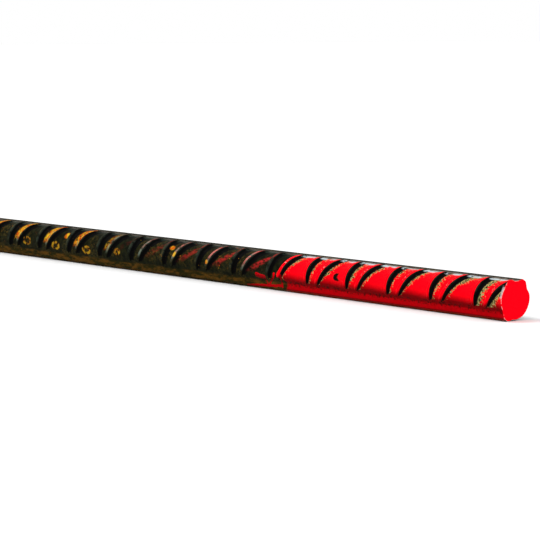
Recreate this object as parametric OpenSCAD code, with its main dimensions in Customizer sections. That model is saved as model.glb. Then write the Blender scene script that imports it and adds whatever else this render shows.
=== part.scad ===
// Ribbed steel reinforcing bar, hot-rolled in one piece and cut to stock length, lying on a level floor.
// Its section is the outline that the bar shows end-on: a round core, a row of crescent ribs on either
// side and a longitudinal rib between the rows. Lengths are in millimetres and angles in degrees.

/* [Stock] */
// Length that the bar is cut to
bar_length = 1000; // [500:50:6000]

/* [Core] */
// Diameter of the round core, at the bottom of the valleys between the transverse ribs
core_d = 11.5; // [9:0.1:14]

/* [Transverse ribs] */
// Height above the core at the middle of a row, where the crescents are highest
cross_rib_h = 0.95; // [0.4:0.05:1.4]
// Angle round the bar from one end of a crescent to the other
row_angle = 124; // [104:1:130]

/* [Longitudinal ribs] */
// Height above the core
long_rib_h = 1; // [0.6:0.05:1.4]
// Width across the flat crest, if its edges were sharp
long_rib_crest_w = 1.6; // [0.8:0.1:2.2]
// Radius of the two edges of the crest
long_rib_edge_r = 0.6; // [0.2:0.05:0.8]
// Width where the sides meet the core
long_rib_foot_w = 4.6; // [3.6:0.1:5.4]

/* [Hidden] */
$fn = 96;
core_r = core_d / 2;

// The crests of a row lie on a circle that is set off from the axis and meets the core at the row's ends.
crest_reach = core_r + cross_rib_h;
crest_offset = cross_rib_h * (core_d + cross_rib_h) / (2 * (crest_reach - core_r * cos(row_angle / 2)));
crest_r = crest_reach - crest_offset;

// A longitudinal rib: half its width and its distance from the axis, at the foot of a side and at the crest
foot_side = long_rib_foot_w / 2;
foot_reach = sqrt(core_r * core_r - foot_side * foot_side);
crest_side = long_rib_crest_w / 2;
long_rib_reach = core_r + long_rib_h;

// The rounding of an edge: how far it turns, and where its centre is
edge_turn = atan2(long_rib_reach - foot_reach, foot_side - crest_side);
edge_side = crest_side - long_rib_edge_r * tan(edge_turn / 2);
edge_reach = long_rib_reach - long_rib_edge_r;
edge_steps = 8;

// How far the longitudinal ribs lean from upright when the edge of one and a circle both touch the floor.
function lean_on(radius, offset) =
    acos((radius - long_rib_edge_r) / norm([edge_reach, offset - edge_side]))
    - atan2(offset - edge_side, edge_reach);

// The bar rolls until it rests on an edge and on the first circle beside it that meets the floor.
rest_lean = min(lean_on(crest_r, crest_offset), lean_on(core_r, 0));
axis_height = edge_reach * cos(rest_lean) + edge_side * sin(rest_lean) + long_rib_edge_r;

// The bar's full length of the flat shape that it is given
module stock() {
    linear_extrude(height = bar_length) children();
}

// One side of a longitudinal rib, from inside the core up to the middle of its crest
function rib_side(way) = concat(
    [[way * foot_side, 0], [way * foot_side, foot_reach]],
    [
        for (step = [edge_steps:-1:0])
            let (turned = edge_turn * step / edge_steps)
                [
                    way * (edge_side + long_rib_edge_r * sin(turned)),
                    edge_reach + long_rib_edge_r * cos(turned),
                ]
    ]
);

// A longitudinal rib, above the core
module longitudinal_rib() {
    right = rib_side(1);
    left = rib_side(-1);
    stock()
        polygon(concat(right, [for (k = [len(left) - 1:-1:0]) left[k]]));
}

// The bar lies along X, centred, with the lower longitudinal rib leaning towards -Y.
// Half a turn brings its outline onto itself, so each row of crests and each longitudinal rib comes twice.
module bar() {
    color([0.27, 0.24, 0.2])
        translate([-bar_length / 2, 0, axis_height])
            rotate([90, 0, 90])
                rotate(-rest_lean) {
                    stock() circle(r = core_r);
                    for (turn = [0, 180])
                        rotate(turn) {
                            stock() translate([crest_offset, 0]) circle(r = crest_r);
                            longitudinal_rib();
                        }
                }
}

bar();
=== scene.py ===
"""Looks of a ribbed reinforcing bar with one end sprayed red. Lengths in metres, angles in degrees."""

import math

import bpy
import numpy as np
from mathutils import Matrix, Vector


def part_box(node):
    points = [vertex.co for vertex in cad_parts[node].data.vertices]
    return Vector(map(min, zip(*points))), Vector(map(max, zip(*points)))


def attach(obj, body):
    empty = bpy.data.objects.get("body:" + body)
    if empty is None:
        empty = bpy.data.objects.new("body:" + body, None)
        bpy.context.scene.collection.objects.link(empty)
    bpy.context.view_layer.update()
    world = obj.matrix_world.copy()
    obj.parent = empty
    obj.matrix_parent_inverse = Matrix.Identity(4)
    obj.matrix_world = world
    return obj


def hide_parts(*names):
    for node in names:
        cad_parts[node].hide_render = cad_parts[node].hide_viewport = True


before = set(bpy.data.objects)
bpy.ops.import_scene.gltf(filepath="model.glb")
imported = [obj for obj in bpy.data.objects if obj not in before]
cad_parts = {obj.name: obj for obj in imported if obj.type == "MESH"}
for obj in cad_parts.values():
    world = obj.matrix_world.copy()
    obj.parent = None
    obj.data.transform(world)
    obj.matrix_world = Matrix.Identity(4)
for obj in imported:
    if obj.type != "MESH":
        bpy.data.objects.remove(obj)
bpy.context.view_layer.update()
BAR_LOW, BAR_HIGH = (Vector(p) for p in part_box("bar"))

MM = 0.001

# Section, as in the part's source. Angles round the bar are counted from the middle of the near row of
# ribs, which faces -Y and up, towards the upper longitudinal rib.
AXIS_Y = (BAR_LOW.y + BAR_HIGH.y) / 2
AXIS_Z = (BAR_LOW.z + BAR_HIGH.z) / 2
LEAN = 33.5
CORE_R = 5.75 * MM
RIB_H = 0.95 * MM
HALF_ROW = 62
# Half of a longitudinal rib, from its foot to the middle of its crest: millimetres to the side and outward
LONG_HALF = [
    (2.6, 5.13),
    (2.28, 5.33),
    (2.0, 5.57),
    (1.5, 6.06),
    (1.02, 6.52),
    (0.84, 6.68),
    (0.66, 6.745),
    (0.2, 6.75),
]

# Transverse ribs. A slanted rib, A, and a steep one, B, take turns along a row.
PAIR_PITCH = 19.36 * MM
SLANT_A = 56
SLANT_B = 78
A_AFTER_B = 7.9 * MM
FIRST_A = 2.8 * MM
CREST_HALF_W = 0.6 * MM
FLANK = 50
FAR_ROW_PHASE = 7.0 * MM
ROW_STEPS = 17
PAIRS_PAST_END = 2

# Each end: a narrow bevel, and round the face a ring that the cut can leave bare
END_BEVEL = 0.16 * MM
CUT_RING = 2.2 * END_BEVEL

# The red was sprayed from the side of the near row and from the plain end's side: how far from the bar's
# direction, and how far up from -Y.
SPRAY_ALONG = 35
SPRAY_ROUND = 12
# How deep in the spray's shadow a point counts as lying when no rib stands before it, in millimetres
NOT_BEHIND = -20.0
# How many points back along a line a crest can stand before the point that it hides
LOOK_BACK = 17


def crest_height(angle):
    """How high the crests of a row stand above the core, at an angle from the row's middle."""
    reach = CORE_R + RIB_H
    offset = RIB_H * (2 * CORE_R + RIB_H) / (2 * (reach - CORE_R * math.cos(math.radians(HALF_ROW))))
    a = math.radians(angle)
    height = offset * math.cos(a) + math.sqrt((reach - offset) ** 2 - (offset * math.sin(a)) ** 2) - CORE_R
    return RIB_H * (max(height, 0) / RIB_H) ** 0.75


def rib_profile(height):
    """Half of a rib, cut across: distances from its middle and heights, from its crest to its foot."""
    crest = CREST_HALF_W * min(1, height / (0.4 * RIB_H))
    run = height / math.tan(math.radians(FLANK))
    # The roundings of the crest's edge and of the foot, which shrink with a low rib
    q = min(1.0, height / (0.55 * MM)) * MM
    half = [
        (crest * 0.42, height),
        (crest - 0.02 * q, height - 0.05 * q),
        (crest + 0.22 * q, height - 0.26 * q),
        (crest + run - 0.20 * q, 0.24 * q),
        (crest + run + 0.12 * q, 0.05 * q),
        (crest + run + 0.42 * MM, 0.0),
    ]
    # Where a rib dies out, its points stay apart and in order
    return [(max(t, 0.06 * MM * (k + 1)), h) for k, (t, h) in enumerate(half)]


def row_line(row, angle):
    """Positions along the bar and heights above the core, at an angle within a row."""
    half = rib_profile(crest_height(angle))
    across = [(-t, h) for t, h in reversed(half)] + half
    pairs = int((BAR_HIGH.x - BAR_LOW.x) / PAIR_PITCH) + 2 * PAIRS_PAST_END
    mean_arc = (CORE_R + RIB_H / 2) * math.radians(angle)
    xs, hs = [], []
    for k in reversed(range(-PAIRS_PAST_END, pairs - PAIRS_PAST_END)):
        a_middle = BAR_HIGH.x - FIRST_A - k * PAIR_PITCH - FAR_ROW_PHASE * row
        for slant, middle in ((SLANT_B, a_middle - A_AFTER_B), (SLANT_A, a_middle)):
            turned = math.radians(slant)
            for t, h in across:
                xs.append(middle + mean_arc / math.tan(turned) + t / math.sin(turned))
                hs.append(h)
    return np.array(xs), np.array(hs)


class Skin:
    """The whole bar as one closed skin, with its ribs, its ends and what the spray could reach.

    It is made of lines along the bar. Until it is laid over at the end, its second axis runs through the
    middle of the near row and its third through the longitudinal ribs.
    """

    def __init__(self):
        self.section, self.xs, self.hs = [], [], []
        for row, way in ((0, 1), (1, -1)):
            self.add_row(row, way)
            self.add_longitudinal_rib(row, way)
        self.section, self.xs, self.hs = np.array(self.section), np.array(self.xs), np.array(self.hs)
        self.count, self.steps = self.xs.shape
        self.outward = self.section / np.linalg.norm(self.section, axis=1)[:, None]
        self.points, self.faces = [], []
        self.low, self.high = BAR_LOW.x + END_BEVEL, BAR_HIGH.x - END_BEVEL

    def add_line(self, place, xs, hs):
        """A line along the bar: its place in the section, its positions along it and heights there"""
        self.section.append(place)
        self.xs.append(xs)
        self.hs.append(hs)

    def add_row(self, row, way):
        for angle in np.linspace(-HALF_ROW, HALF_ROW, ROW_STEPS):
            a = math.radians(angle)
            place = (way * CORE_R * math.cos(a), way * CORE_R * math.sin(a))
            self.add_line(place, *row_line(row, angle))

    def add_longitudinal_rib(self, row, way):
        """The longitudinal rib past a row, whose lines go over from that row's pattern to the other's"""
        outline = LONG_HALF + [(-u, v) for u, v in reversed(LONG_HALF)]
        before, after = row_line(row, HALF_ROW)[0], row_line(1 - row, -HALF_ROW)[0]
        for k, (u, v) in enumerate(outline):
            past = (k + 1) / (len(outline) + 1)
            xs = (1 - past) * before + past * after
            self.add_line((way * u * MM, way * v * MM), xs, np.zeros(len(xs)))

    def normals(self):
        """Normals, from how the surface climbs along the bar and round it"""
        normals = np.zeros((self.count, self.steps, 3))
        for j in range(self.count):
            sides = (j - 1, (j + 1) % self.count)
            heights = [np.interp(self.xs[j], self.xs[k], self.hs[k])[:, None] for k in sides]
            before, after = (self.section[k] + self.outward[k] * h for k, h in zip(sides, heights))
            across = after - before
            square = np.column_stack([across[:, 1], -across[:, 0]])
            square /= np.linalg.norm(across, axis=1)[:, None]
            normals[j, :, 0] = -np.gradient(self.hs[j], self.xs[j]) * (square @ self.outward[j])
            normals[j, :, 1:] = square
        return normals / np.linalg.norm(normals, axis=2)[:, :, None]

    def slanted_backs(self):
        """1 for the points of a line that lie on the back or the crest of a slanted rib"""
        # The points of a pair, from -X: a steep rib, then a slanted one's back and crest and its other side
        per_rib = 2 * len(rib_profile(RIB_H))
        pair = [0.0] * per_rib + [1.0] * (per_rib // 2 + 1) + [0.0] * (per_rib // 2 - 1)
        return np.tile(pair, self.steps // (2 * per_rib))

    def hidden(self):
        """How far each point lies under the edge of the spray's shadow behind the ribs, along its line"""
        spray_up = math.radians(SPRAY_ROUND - LEAN)
        to_spray = self.outward @ np.array([math.cos(spray_up), math.sin(spray_up)])
        slope = math.tan(math.radians(SPRAY_ALONG)) * np.clip(to_spray, 0.3, 1)
        hidden = np.full(self.xs.shape, NOT_BEHIND * MM)
        for back in range(1, LOOK_BACK + 1):
            drop = self.hs[:, :-back] - self.hs[:, back:]
            over = drop - (self.xs[:, back:] - self.xs[:, :-back]) * slope[:, None]
            over[drop < 0.1 * MM] = NOT_BEHIND * MM
            hidden[:, back:] = np.maximum(hidden[:, back:], over)
        return hidden

    def add_point(self, place, normal, height=0.0, hidden=NOT_BEHIND, back=0.0, edge=0.0):
        """Keeps a point with what the material is told about it, and gives its number"""
        self.points.append((place, normal, height, hidden, back, edge))
        return len(self.points) - 1

    def add_side(self):
        """The skin between the two bevels. It gives the numbers of the points, line by line."""
        normals, hidden, backs = self.normals(), self.hidden(), self.slanted_backs()
        index = np.zeros(self.xs.shape, int)
        for j, (xs, hs) in enumerate(zip(self.xs, self.hs)):
            ends = {}
            for i in range(self.steps):
                x = min(max(xs[i], self.low), self.high)
                if x not in ends:
                    h = np.interp(x, xs, hs)
                    place = (x, *(self.section[j] + self.outward[j] * h))
                    depth = np.interp(x, xs, hidden[j]) / MM
                    index[j, i] = self.add_point(place, normals[j, i], h / RIB_H, depth, backs[i])
                    if x in (self.low, self.high):
                        ends[x] = index[j, i]
                else:
                    index[j, i] = ends[x]
        for j in range(self.count):
            k = (j + 1) % self.count
            for i in range(self.steps - 1):
                corners = (index[j, i], index[j, i + 1], index[k, i + 1], index[k, i])
                face = list(dict.fromkeys(int(v) for v in corners))
                if len(face) > 2:
                    self.faces.append(face)
        return index

    def add_end(self, rim, x, way):
        """One end: the bevel, the ring that the cut can leave bare, and the flat face"""
        outer = rim
        for inset, bare in ((END_BEVEL, 1.0), (CUT_RING, 0.0)):
            inner = []
            for v in rim:
                _, y, z = self.points[v][0]
                scale = 1 - inset / math.hypot(y, z)
                inner.append(self.add_point((x, y * scale, z * scale), (way, 0, 0), edge=bare))
            for j in range(self.count):
                k = (j + 1) % self.count
                quad = [outer[j], inner[j], inner[k], outer[k]]
                self.faces.append(quad if way > 0 else quad[::-1])
            outer = inner
        self.faces.append(outer[::-1] if way > 0 else outer)

    def build(self):
        """The skin as an object, laid over so that the near row faces -Y and up"""
        index = self.add_side()
        self.add_end([int(v) for v in index[:, 0]], BAR_LOW.x, -1)
        self.add_end([int(v) for v in index[:, -1]], BAR_HIGH.x, 1)
        places, normals, heights, hidden, backs, edge = (np.array(v, float) for v in zip(*self.points))
        lean = math.radians(LEAN)
        laid = np.diag([1.0, 0.0, 0.0])
        laid[1:, 1:] = [[-math.cos(lean), math.sin(lean)], [math.sin(lean), math.cos(lean)]]
        co, normals = places @ laid.T + (0, AXIS_Y, AXIS_Z), normals @ laid.T
        mesh = bpy.data.meshes.new("bar_skin")
        mesh.from_pydata(co.tolist(), [], self.faces)
        set_normals(mesh, co, normals)

        along, up = math.radians(SPRAY_ALONG), math.radians(SPRAY_ROUND)
        source = (-math.cos(along), -math.sin(along) * math.cos(up), math.sin(along) * math.sin(up))
        end_face = (co[:, 0] > self.high + END_BEVEL / 2).astype(float)
        for name, values in (
            # Height above the core, as a share of the highest crest
            ("rib", heights),
            ("slanted_back", backs),
            ("hidden", hidden),
            # How squarely each point faced the spray, and how much it faces the painted end
            ("facing", np.maximum(normals @ np.array(source), end_face)),
            ("flank", np.clip(normals[:, 0], 0, 1) * (1 - end_face)),
            # How far up the side it lies, in right angles: 0 at -Y and 1 at the top
            ("climb", np.arctan2(co[:, 2] - AXIS_Z, AXIS_Y - co[:, 1]) / (math.pi / 2)),
            # How squarely it faces -Y and above: the red is painted darker away from there, as painted shade
            ("painted_light_facing", np.maximum((normals[:, 2] - normals[:, 1]) * math.sqrt(0.5), end_face)),
            ("edge", edge),
            ("end_face", end_face),
        ):
            mesh.attributes.new(name, "FLOAT", "POINT").data.foreach_set("value", values)
        ob = bpy.data.objects.new("bar_skin", mesh)
        bpy.context.scene.collection.objects.link(ob)
        return ob


def set_normals(mesh, co, normals):
    """Smooth shading by the given normals on the side and the bevels, and flat end faces"""
    flat = np.array([abs(p.normal.x) > 0.98 for p in mesh.polygons])
    mesh.polygons.foreach_set("use_smooth", ~flat)
    corner_vertex = np.zeros(len(mesh.loops), int)
    mesh.loops.foreach_get("vertex_index", corner_vertex)
    corners = normals[corner_vertex]
    on_flat = np.repeat(flat, [p.loop_total for p in mesh.polygons])
    corners[on_flat] = np.sign(co[corner_vertex[on_flat], :1]) * (1, 0, 0)
    mesh.normals_split_custom_set(corners.tolist())


class Tree:
    """Short ways to add nodes to a material."""

    # Little shine of its own, so that dark steel stays dark under a bright sky
    SPECULAR = 0.05
    INDEX_OF_REFRACTION = 1.15

    def __init__(self, name):
        self.material = bpy.data.materials.new(name)
        self.material.use_nodes = True
        self.nodes = self.material.node_tree.nodes
        self.links = self.material.node_tree.links
        self.shader = self.nodes["Principled BSDF"]
        self.shader.inputs["Specular IOR Level"].default_value = self.SPECULAR
        self.shader.inputs["IOR"].default_value = self.INDEX_OF_REFRACTION

    def put(self, socket, value):
        if isinstance(value, bpy.types.NodeSocket):
            self.links.new(value, socket)
        elif isinstance(value, tuple) and socket.type == "RGBA":
            socket.default_value = (*value, 1)
        else:
            socket.default_value = value

    def calc(self, operation, *values):
        node = self.nodes.new("ShaderNodeMath")
        node.operation = operation
        for socket, value in zip(node.inputs, values):
            self.put(socket, value)
        return node.outputs[0]

    def fold(self, operation, values):
        out = values[0]
        for value in values[1:]:
            out = self.calc(operation, out, value)
        return out

    def mul(self, *values):
        return self.fold("MULTIPLY", values)

    def add(self, *values):
        return self.fold("ADD", values)

    def most(self, *values):
        return self.fold("MAXIMUM", values)

    def inverse(self, value):
        return self.calc("SUBTRACT", 1.0, value)

    def length(self, u, v):
        return self.calc("SQRT", self.add(self.mul(u, u), self.mul(v, v)))

    def step(self, value, low, high):
        """0 up to low, 1 from high and smooth between them; low may be the larger one"""
        node = self.nodes.new("ShaderNodeMapRange")
        node.interpolation_type = "SMOOTHSTEP"
        self.put(node.inputs["Value"], value)
        node.inputs["From Min"].default_value = min(low, high)
        node.inputs["From Max"].default_value = max(low, high)
        node.inputs["To Min"].default_value = float(low > high)
        node.inputs["To Max"].default_value = float(low < high)
        return node.outputs["Result"]

    def mix(self, share, a, b):
        """Colour a, and colour b where the share is 1"""
        node = self.nodes.new("ShaderNodeMix")
        node.data_type = "RGBA"
        self.put(node.inputs[0], share)
        self.put(node.inputs[6], a)
        self.put(node.inputs[7], b)
        return node.outputs[2]

    def blend(self, share, a, b):
        """Value a, and value b where the share is 1"""
        node = self.nodes.new("ShaderNodeMix")
        self.put(node.inputs[0], share)
        self.put(node.inputs[2], a)
        self.put(node.inputs[3], b)
        return node.outputs[0]

    def attribute(self, name):
        node = self.nodes.new("ShaderNodeAttribute")
        node.attribute_name = name
        return node.outputs["Fac"]

    def place(self):
        return self.nodes.new("ShaderNodeTexCoord").outputs["Object"]

    def noise(self, size, seed, detail=3.0, rough=0.55, stretch=1.0):
        """Noise with grains of that size, drawn out along the bar by stretch"""
        mapping = self.nodes.new("ShaderNodeMapping")
        self.links.new(self.place(), mapping.inputs["Vector"])
        mapping.inputs["Location"].default_value = (seed, seed * 0.7, seed * 0.3)
        mapping.inputs["Scale"].default_value = (1 / (size * stretch), 1 / size, 1 / size)
        node = self.nodes.new("ShaderNodeTexNoise")
        self.links.new(mapping.outputs["Vector"], node.inputs["Vector"])
        node.inputs["Scale"].default_value = 1.0
        node.inputs["Detail"].default_value = detail
        node.inputs["Roughness"].default_value = rough
        return node.outputs["Fac"]

    def waver(self, noise, amount):
        """Noise as a value about 0"""
        return self.mul(self.add(noise, -0.5), amount)

    def bump(self, height, distance, under=None):
        node = self.nodes.new("ShaderNodeBump")
        node.inputs["Distance"].default_value = distance
        self.put(node.inputs["Height"], height)
        if under is not None:
            self.links.new(under, node.inputs["Normal"])
        return node.outputs["Normal"]

    def finish(self, colour, rough, normal):
        self.put(self.shader.inputs["Base Color"], colour)
        self.put(self.shader.inputs["Roughness"], rough)
        self.put(self.shader.inputs["Normal"], normal)
        return self.material


# Colours. A pair is what a noise runs between.
SCALE = (0.0035, 0.0045, 0.0018), (0.011, 0.012, 0.004)
DUST = (0.018, 0.018, 0.003), (0.085, 0.055, 0.012)
DIRT = (0.014, 0.013, 0.002), (0.095, 0.042, 0.005)
FLANK_PAINTED_SHADE = (0.002, 0.002, 0.002)
PAINTED_CREST_SHEEN = (0.13, 0.17, 0.13)
RUST = (0.50, 0.075, 0.004), (0.62, 0.36, 0.015)
OVERSPRAY = (0.36, 0.014, 0.014), (0.72, 0.14, 0.12)
SPECKLED_BAND = (0.010, 0.016, 0.004), (0.36, 0.30, 0.11)
UNPAINTED = (0.004, 0.003, 0.002)
TOP_STRIP = (0.045, 0.018, 0.012), (0.20, 0.17, 0.14)
# The red in painted shade and in painted light
RED_SHADED_TO_LIT = (0.16, 0.0, 0.001), (0.95, 0.0, 0.006)
RED_PIT_SHADOW = (0.03, 0.002, 0.001)
RED_WORN = (0.30, 0.022, 0.010)
RED_PAINTED_HIGHLIGHT = (0.95, 0.45, 0.40)
PAINTED_GLINT_ON_SCALE = (0.045, 0.065, 0.045)
PAINTED_GLINT_IN_PAINT = (0.42, 0.48, 0.50)
CUT_STEEL = (0.46, 0.44, 0.43)

# Where things start or stop, in metres from the painted end: none at the first and all at the second
RUST_STARTS = 0.190, 0.212
RUST_IS_WHOLE = 0.275, 0.265
OVERSPRAY_STARTS = 0.205, 0.10
PAINTED_SHADE_WIDENS = 0.104, 0.118
BARER_END = 0.026, 0.010
BURR_ENDS = 0.0009, 0.0005
# Where the solid paint stops half-way up the side, in millimetres from the painted end
PAINT_EDGE = 103.7

# Marks on the near side: millimetres from the painted end, degrees up from -Y, radius in millimetres
RUST_RINGS = [(251.6, 1, 1.9), (232.5, -4, 1.9), (212.7, -6, 1.9), (193.7, 2, 1.3)]
RUST_SPOTS = [(226, 38, 2.4), (162.4, 41, 1.8), (158.9, 17, 1.5), (131.2, 86, 0.8), (141, 8, 1.5)]
MISSED_SPOT = (73.8, 11, 2.1)
# Round patch over part of the missed spot that the spray did reach, which leaves a crescent bare
REACHED_SPOT = (71.8, 13, 2.0)
# Strings of paint past its edge: from and to, in millimetres from the painted end and degrees, half width
PAINT_STRINGS = [
    (114.6, -14, 110.8, -20, 0.75),
    (110.8, -20, 109.4, -46, 0.25),
    (105.4, -3, 105.9, -17, 0.35),
    (105.9, -17, 109.2, -44, 0.28),
    (121.0, -52, 103.0, -42, 0.32),
    (101.7, -3, 102.3, -44, 0.38),
]


class Steel(Tree):
    """Mill scale, dust and rust, with the sprayed red over them at one end"""

    def __init__(self):
        super().__init__("sprayed_steel")
        xyz = self.nodes.new("ShaderNodeSeparateXYZ")
        self.links.new(self.place(), xyz.inputs[0])
        self.from_end = self.calc("SUBTRACT", BAR_HIGH.x, xyz.outputs[0])
        self.from_end_mm = self.mul(self.from_end, 1 / MM)
        self.flank, self.facing = self.attribute("flank"), self.attribute("facing")
        self.hidden, self.climb = self.attribute("hidden"), self.attribute("climb")
        self.rib, self.to_back = self.attribute("rib"), self.attribute("slanted_back")
        self.back = self.step(self.to_back, 0.45, 0.85)
        self.end_face, self.painted_light_facing = self.attribute("end_face"), self.attribute("painted_light_facing")
        self.grain, self.fine = self.noise(0.5 * MM, 1, 3), self.noise(1.0 * MM, 2, 4, 0.65)
        self.mid, self.coarse = self.noise(1.8 * MM, 3), self.noise(9 * MM, 8, 2)
        self.streak = self.step(self.noise(0.9 * MM, 5, 4, 0.6, 2.0), 0.36, 0.60)

    def between(self, start, stop):
        """1 between two heights on the side, each given as where it is 0 and where it is 1"""
        return self.mul(self.step(self.climb, *start), self.step(self.climb, *stop))

    def from_mark(self, mark):
        """Millimetres from the middle of a mark, which is drawn out along the bar"""
        s, degrees, _ = mark
        along = self.mul(self.add(self.from_end, -s * MM), 1 / MM)
        around = self.mul(self.add(self.climb, -degrees / 90), 1.6 * CORE_R / MM * math.pi / 2)
        return self.add(self.length(along, around), self.waver(self.fine, 1.6))

    def from_string(self, string):
        """Millimetres from the edge of a string of paint"""
        s0, w0, s1, w1, half = string
        per_degree = CORE_R / MM * math.pi / 180
        along, around = s1 - s0, (w1 - w0) * per_degree
        square = along**2 + around**2
        u = self.add(self.from_end_mm, -s0)
        v = self.add(self.mul(self.climb, 90 * per_degree), -w0 * per_degree)
        share = self.add(self.mul(u, along / square), self.mul(v, around / square))
        share = self.calc("MINIMUM", self.most(share, 0.0), 1.0)
        u, v = self.add(u, self.mul(share, -along)), self.add(v, self.mul(share, -around))
        return self.add(self.length(u, v), self.waver(self.fine, 0.9), -half)

    def mill_scale(self):
        """Mill scale with dust, dirt low on the bar and a painted sheen on crests. It gives the flank shade
        too.
        """
        colour = self.mix(self.step(self.mid, 0.35, 0.7), *SCALE)
        dusty = self.mul(self.step(self.fine, 0.42, 0.62), self.step(self.coarse, 0.40, 0.66), 0.7)
        colour = self.mix(dusty, colour, self.mix(self.step(self.grain, 0.35, 0.65), *DUST))
        low = self.step(self.add(self.climb, self.waver(self.fine, 0.2)), -0.30, -0.42)
        low = self.mul(low, self.step(self.climb, -0.80, -0.66), 0.85)
        drawn = self.step(self.noise(1.4 * MM, 61, 4, 0.65, 3.0), 0.38, 0.66)
        colour = self.mix(low, colour, self.mix(drawn, *DIRT))

        # The flanks that face the painted end and the foot behind them, out of the spray's reach.
        # They get near-black painted shade, and the painted shadow on the foot widens past the paint's edge
        shaded_unsprayed = self.mul(self.step(self.flank, 0.22, 0.42), self.step(self.rib, 0.02, 0.12))
        wider = self.mul(self.step(self.from_end, *PAINTED_SHADE_WIDENS), 0.55)
        spray_and_cast_shadow = self.mul(
            self.between((-0.36, -0.26), (0.98, 0.84)),
            self.step(self.add(self.hidden, wider), -0.32, 0.02),
        )
        shaded_unsprayed = self.most(shaded_unsprayed, spray_and_cast_shadow)
        colour = self.mix(shaded_unsprayed, colour, FLANK_PAINTED_SHADE)
        # A painted highlight along the crests, strongest on the slanted ribs
        crest = self.mul(self.step(self.rib, 0.55, 0.90), self.blend(self.back, 0.15, 1.0))
        crest_sheen = self.mul(crest, self.step(self.mid, 0.3, 0.6), 0.7, self.between((-0.3, 0.1), (0.95, 0.6)))
        return self.mix(crest_sheen, colour, PAINTED_CREST_SHEEN), shaded_unsprayed

    def rust(self):
        """Where rust is: on the slanted ribs away from the painted end, and in spots, rings and flecks"""
        crests = self.mul(self.step(self.to_back, 0.35, 0.70), self.step(self.from_end, *RUST_STARTS))
        # Past the marks that are set one by one, it comes and goes from rib to rib
        patches = self.step(self.noise(40 * MM, 71, 2), 0.44, 0.54)
        patchy = self.most(self.step(self.from_end, *RUST_IS_WHOLE), patches)
        rusty = self.mul(crests, self.step(self.climb, -0.02, 0.20), patchy, self.step(self.fine, 0.38, 0.50))
        for mark in RUST_SPOTS:
            rusty = self.most(rusty, self.step(self.from_mark(mark), mark[2], mark[2] * 0.5))
        for mark in RUST_RINGS:
            off_ring = self.calc("ABSOLUTE", self.add(self.from_mark(mark), -mark[2]))
            ring = self.mul(self.step(off_ring, 1.0, 0.2), self.step(self.mid, 0.40, 0.56), 0.6)
            rusty = self.most(rusty, ring)
        flecks = self.step(self.noise(1.2 * MM, 11, 4, 0.65), 0.64, 0.72)
        rusty = self.most(rusty, self.mul(flecks, self.step(self.coarse, 0.45, 0.6), 0.7))
        return self.mul(rusty, self.step(self.flank, 0.45, 0.25), self.step(self.climb, 1.0, 0.9))

    def overspray(self, colour):
        """Overspray, on what faced the spray before each rib, fading out along the bar"""
        off_band = self.calc("ABSOLUTE", self.add(self.hidden, self.mul(self.climb, 4.2), 1.8))
        band = self.mul(self.step(off_band, 1.9, 0.6), self.step(self.to_back, 0.10, 0.02))
        band = self.mul(band, self.step(self.climb, -0.12, 0.25))
        backs = self.mul(self.back, self.step(self.rib, 0.1, 0.5), self.step(self.climb, 0.0, 0.45))
        tops = self.mul(self.step(self.rib, 0.15, 0.5), self.step(self.climb, 0.42, 0.62), 0.8)
        over = self.mul(self.most(band, backs, tops), self.streak, self.step(self.facing, 0.05, 0.30))
        over = self.mul(over, self.step(self.climb, 1.0, 0.9), self.step(self.from_end, *OVERSPRAY_STARTS))
        # Overspray, paler on the crests of the slanted ribs, which is partly a painted highlight
        thin = self.mix(self.mul(self.step(self.rib, 0.6, 1.0), self.back), *OVERSPRAY)
        return self.mix(self.mul(over, 0.95), colour, thin)

    def solid(self):
        """Where the solid paint is. Its edge follows the slanted ribs, and comes sooner low on the bar."""
        sooner = self.add(self.mul(self.climb, 6.6), self.mul(self.step(self.climb, -0.05, -0.35), 7.0))
        ragged = self.waver(self.noise(2.5 * MM, 21, 3, 0.6), 4.0)
        edge = self.add(self.from_end_mm, sooner, ragged)
        return self.step(edge, PAINT_EDGE + 0.5, PAINT_EDGE - 0.5)

    def paint(self, colour, solid, shaded_unsprayed):
        """The solid paint, with what it missed and left thin. It gives where it covers too."""
        speckle = self.waver(self.noise(0.6 * MM, 31, 2, 0.6), 5.0)
        middle = self.between((-0.10, 0.20), (0.90, 0.60))
        bare = self.add(
            self.hidden,
            self.mul(self.step(self.from_end, *BARER_END), 1.1),
            self.mul(middle, self.step(self.coarse, 0.3, 0.6), 0.8),
        )
        thin = self.mul(solid, self.step(bare, -2.2, -1.6), self.step(shaded_unsprayed, 0.6, 0.2))
        thin = self.mul(thin, self.step(self.facing, 0.0, 0.15))
        colour = self.mix(thin, colour, self.mix(self.step(self.grain, 0.40, 0.60), *SPECKLED_BAND))
        missed = self.step(self.from_mark(MISSED_SPOT), MISSED_SPOT[2] * 1.1, MISSED_SPOT[2] * 0.8)
        reached = self.step(self.from_mark(REACHED_SPOT), REACHED_SPOT[2] * 0.8, REACHED_SPOT[2] * 1.1)
        missed = self.mul(missed, reached)
        colour = self.mix(missed, colour, UNPAINTED)

        speckled = self.step(self.add(bare, speckle), 0.15, -0.25)
        worn = self.mul(self.step(self.climb, -0.55, -0.63), self.step(self.fine, 0.40, 0.60), 0.8)
        top = self.step(self.add(self.climb, self.mul(speckle, 0.03)), 0.93, 0.87)
        cover = self.mul(self.step(self.facing, 0.10, 0.20), speckled, self.step(shaded_unsprayed, 0.7, 0.3))
        cover = self.mul(cover, self.inverse(missed), self.inverse(worn), top)
        paint = self.mul(solid, self.most(cover, self.end_face))
        for string in PAINT_STRINGS:
            on_string = self.step(self.from_string(string), 0.12, -0.05)
            paint = self.most(paint, self.mul(on_string, self.step(self.climb, 0.5, 0.3)))

        on_strip = self.mul(self.between((0.90, 0.97), (1.25, 1.1)), self.blend(solid, 0.25, 0.9))
        colour = self.mix(on_strip, colour, self.mix(self.step(self.streak, 0.2, 0.8), *TOP_STRIP))
        return self.mix(paint, colour, self.red()), paint

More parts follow.
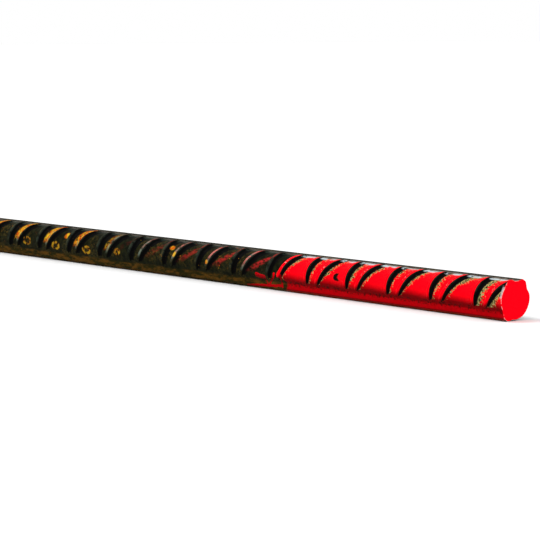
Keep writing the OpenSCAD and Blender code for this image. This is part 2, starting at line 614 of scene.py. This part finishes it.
    def red(self):
        """The red, in painted shade and light, with painted pit shadows along the foot and highlights on
        crests
        """
        # Painted shade: darker where the side turns from -Y and above, in the valleys and low on the bar
        painted_shading = self.add(self.painted_light_facing, self.mul(self.rib, 0.25))
        painted_shading = self.add(painted_shading, self.mul(self.step(self.climb, -0.38, -0.44), -0.04))
        painted_shading = self.add(painted_shading, self.waver(self.fine, 0.15))
        red = self.mix(self.step(painted_shading, 0.30, 0.86), *RED_SHADED_TO_LIT)
        on_side = self.inverse(self.end_face)
        # Dark dots along the foot: painted shadows of small pits in the paint, which have no relief here
        pit_shadows = self.step(self.noise(1.0 * MM, 51, 3, 0.6), 0.52, 0.57)
        pit_shadows = self.mul(self.between((-0.22, -0.29), (-0.46, -0.40)), pit_shadows, on_side, 0.85)
        red = self.mix(pit_shadows, red, RED_PIT_SHADOW)
        red = self.mix(self.mul(self.step(self.climb, -0.56, -0.64), on_side), red, RED_WORN)
        # Painted highlights: small pale dots on the crests of the slanted ribs
        crest_highlights = self.mul(self.step(self.rib, 0.94, 0.99), self.back, self.step(self.grain, 0.60, 0.66))
        return self.mix(self.mul(crest_highlights, self.step(self.climb, 0.05, 0.2)), red, RED_PAINTED_HIGHLIGHT)

    def glints_and_cut_steel(self, colour, solid):
        """A painted glint at the top of the dark flanks, and bare steel where the cut broke the end's edge"""
        # Painted highlight: pale patches where the tops of the flanks would catch the light from above
        painted_glint = self.mul(self.step(self.hidden, -1.9, -0.8), self.between((0.76, 0.86), (1.04, 0.98)))
        painted_glint = self.mul(painted_glint, self.step(self.mid, 0.40, 0.56), self.blend(solid, 0.35, 1.0))
        colour = self.mix(painted_glint, colour, self.mix(solid, PAINTED_GLINT_ON_SCALE, PAINTED_GLINT_IN_PAINT))
        burr = self.mul(self.step(self.from_end, *BURR_ENDS), self.between((0.05, 0.15), (0.55, 0.45)))
        broken = self.step(self.noise(2.0 * MM, 41, 2), 0.48, 0.58)
        cut = self.mul(self.step(self.attribute("edge"), 0.35, 0.6), broken)
        cut = self.mul(self.most(cut, self.mul(burr, 0.8)), self.step(self.grain, 0.32, 0.5))
        return self.mix(self.mul(cut, self.step(self.end_face, 1.0, 0.999)), colour, CUT_STEEL)

    def build(self):
        colour, shaded_unsprayed = self.mill_scale()
        rusty = self.rust()
        colour = self.mix(self.mul(rusty, 0.92), colour, self.mix(self.step(self.mid, 0.38, 0.62), *RUST))
        solid = self.solid()
        colour, paint = self.paint(self.overspray(colour), solid, shaded_unsprayed)
        colour = self.glints_and_cut_steel(colour, solid)
        unpainted_rough = self.blend(rusty, self.blend(self.fine, 0.30, 0.60), 0.85)
        rough = self.blend(paint, unpainted_rough, self.blend(self.fine, 0.25, 0.40))
        uneven = self.bump(self.fine, 0.05 * MM, self.bump(self.mid, 0.12 * MM))
        return self.finish(colour, rough, uneven)


skin = Skin().build()
skin.data.materials.append(Steel().build())
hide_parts("bar")
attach(skin, "root")

# Studio: a pale floor level with the bar's lowest line, a white sky and two soft suns
FLOOR = 6.0
FLOOR_COLOUR = (0.78, 0.78, 0.78)
FLOOR_ROUGHNESS = 0.9
SKY_STRENGTH = 1.0

floor_mesh = bpy.data.meshes.new("floor")
corners = [(-FLOOR, -FLOOR, 0), (FLOOR, -FLOOR, 0), (FLOOR, FLOOR, 0), (-FLOOR, FLOOR, 0)]
floor_mesh.from_pydata(corners, [], [(0, 1, 2, 3)])
floor = bpy.data.objects.new("floor", floor_mesh)
bpy.context.scene.collection.objects.link(floor)
pale = Tree("pale_floor")
pale.put(pale.shader.inputs["Base Color"], FLOOR_COLOUR)
pale.put(pale.shader.inputs["Roughness"], FLOOR_ROUGHNESS)
floor_mesh.materials.append(pale.material)

world = bpy.data.worlds.new("studio")
world.use_nodes = True
world.node_tree.nodes["Background"].inputs["Color"].default_value = (1, 1, 1, 1)
world.node_tree.nodes["Background"].inputs["Strength"].default_value = SKY_STRENGTH
bpy.context.scene.world = world


def soft_sun(name, towards, strength, spread):
    """Even light from one side: where it comes from, its strength and how many degrees wide it is"""
    data = bpy.data.lights.new(name, "SUN")
    data.energy = strength
    data.angle = math.radians(spread)
    ob = bpy.data.objects.new(name, data)
    ob.rotation_euler = Vector(towards).to_track_quat("Z", "Y").to_euler()
    bpy.context.scene.collection.objects.link(ob)


soft_sun("key", (-0.55, -0.45, 1.0), 1.5, 20)
soft_sun("side", (1.0, -0.25, 0.35), 1.0, 30)

# Camera: how it sees the painted end, as parts of the picture's width from its middle
FIELD_OF_VIEW = 12.58
AZIMUTH = 51.5
ELEVATION = 5.83
END_DISTANCE = 0.712
END_RIGHT = 0.4543
END_DOWN = 0.0562

az, el = math.radians(AZIMUTH), math.radians(ELEVATION)
forward = Vector((-math.sin(az) * math.cos(el), math.cos(az) * math.cos(el), -math.sin(el)))
right = forward.cross(Vector((0, 0, 1))).normalized()
up = right.cross(forward)
width = 2 * END_DISTANCE * math.tan(math.radians(FIELD_OF_VIEW) / 2)
end_centre = Vector((BAR_HIGH.x, AXIS_Y, AXIS_Z))
eye = end_centre - forward * END_DISTANCE - right * width * END_RIGHT + up * width * END_DOWN
camera = bpy.data.objects.new("camera", bpy.data.cameras.new("camera"))
camera.data.sensor_width = 36
camera.data.angle = math.radians(FIELD_OF_VIEW)
camera.data.clip_start = 0.01
camera.matrix_world = Matrix.Translation(eye) @ Matrix((right, up, -forward)).transposed().to_4x4()
bpy.context.scene.collection.objects.link(camera)
bpy.context.scene.camera = camera
bpy.context.scene.view_settings.view_transform = "Standard"
